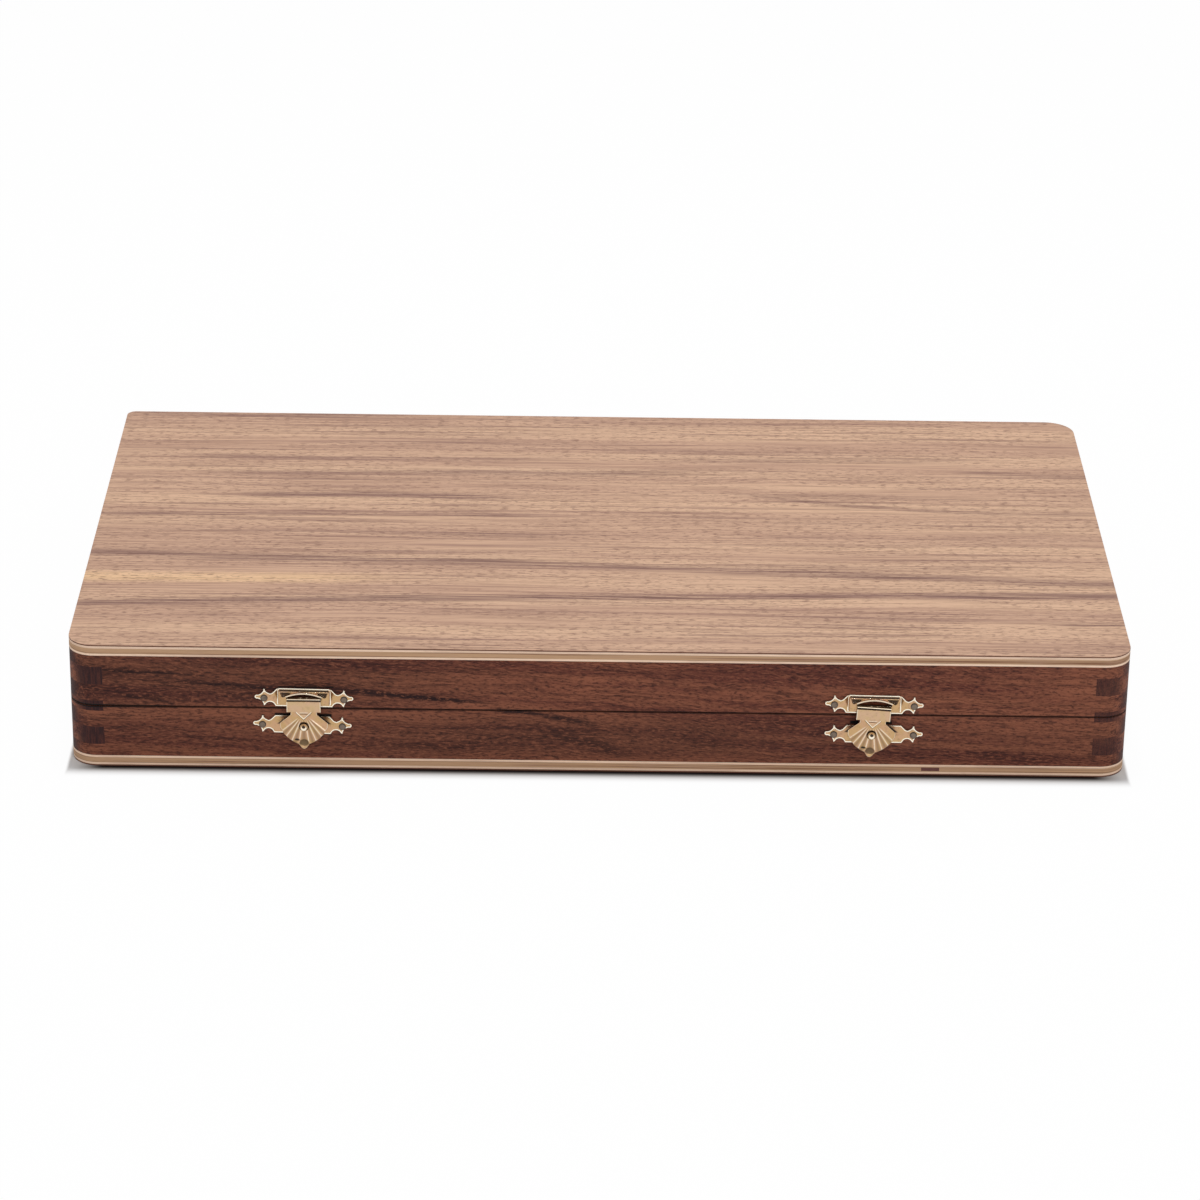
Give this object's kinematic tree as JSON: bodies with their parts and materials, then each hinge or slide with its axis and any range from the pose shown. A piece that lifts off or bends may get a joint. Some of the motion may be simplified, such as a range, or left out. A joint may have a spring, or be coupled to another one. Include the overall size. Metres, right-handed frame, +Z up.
{
  "type": "backgammon board",
  "caption": "Folding wooden backgammon case: two shallow hinged trays with inlaid playing fields, closed by stamped brass press latches.",
  "frame": {"origin": "centre of the flat bottom face that the closed case rests on", "axes": "+X along the length, to the right seen from the front; -Y towards the front with the latches; +Z up, from base to lid"},
  "size_m": [0.38, 0.2278, 0.0479],
  "materials": {
    "walnut_veneer": "matt, straight grain along the length",
    "pale_ply": "matt sanded edge",
    "core_ply": "matt sanded edge",
    "dark_filler": "matt",
    "walnut_rail": "satin, fine grain with dark streaks",
    "field_veneer": "satin",
    "light_inlay": "satin",
    "dark_inlay": "satin",
    "latch_brass": "pale gold, lightly worn",
    "hinge_brass": "satin",
    "screw_brass": "satin",
    "nail_steel": "dull, brass-washed",
    "spring_steel": "blued",
    "light_men_wood": "satin turned wood",
    "dark_men_wood": "satin turned wood",
    "dice_white": "polished"
  },
  "bodies": {
    "base": {"base_back_ply": "pale_ply", "base_back_rail": "walnut_rail", "base_core_filler": "dark_filler", "base_core_ply": "core_ply", "base_dark_points": "dark_inlay", "base_face_ply": "pale_ply", "base_field": "field_veneer", "base_front_rail": "walnut_rail", "base_hinge_leaves": "hinge_brass", "base_hinge_screws": "screw_brass", "base_left_rail": "walnut_rail", "base_light_points": "light_inlay", "base_outer_veneer": "walnut_veneer", "base_right_rail": "walnut_rail", "dark_men": "dark_men_wood", "dice": "dice_white", "hinge_pins": "hinge_brass", "left_latch_nails": "nail_steel", "left_latch_plate": "latch_brass", "left_latch_rivet": "latch_brass", "left_latch_spring": "spring_steel", "light_men": "light_men_wood", "right_latch_nails": "nail_steel", "right_latch_plate": "latch_brass", "right_latch_rivet": "latch_brass", "right_latch_spring": "spring_steel"},
    "lid": {"left_keeper_nails": "nail_steel", "left_keeper_plate": "latch_brass", "lid_back_ply": "pale_ply", "lid_back_rail": "walnut_rail", "lid_core_ply": "core_ply", "lid_dark_points": "dark_inlay", "lid_face_ply": "pale_ply", "lid_field": "field_veneer", "lid_front_rail": "walnut_rail", "lid_hinge_leaves": "hinge_brass", "lid_hinge_screws": "screw_brass", "lid_left_rail": "walnut_rail", "lid_light_points": "light_inlay", "lid_outer_veneer": "walnut_veneer", "lid_right_rail": "walnut_rail", "right_keeper_nails": "nail_steel", "right_keeper_plate": "latch_brass"},
    "left_lever": {"left_latch_lever": "latch_brass"},
    "right_lever": {"right_latch_lever": "latch_brass"}
  },
  "joints": [
    {"name": "lid_hinge", "type": "hinge", "parent": "base", "child": "lid", "pos_m": [0, 0.1105, 0.02395], "axis": [-1, 0, 0], "range_deg": [0, 180]},
    {"name": "left_latch_tilt", "type": "hinge", "parent": "base", "child": "left_lever", "pos_m": [-0.1056, -0.11335, 0.01815], "axis": [1, 0, 0], "range_deg": [0, 10], "stiffness_Nm_per_rad": 0.06, "springref_deg": -8.59, "deforming": ["left_latch_spring"]},
    {"name": "right_latch_tilt", "type": "hinge", "parent": "base", "child": "right_lever", "pos_m": [0.09765, -0.11335, 0.01745], "axis": [0.9981, 0, -0.061], "range_deg": [0, 10], "stiffness_Nm_per_rad": 0.06, "springref_deg": -8.59, "deforming": ["right_latch_spring"]}
  ]
}
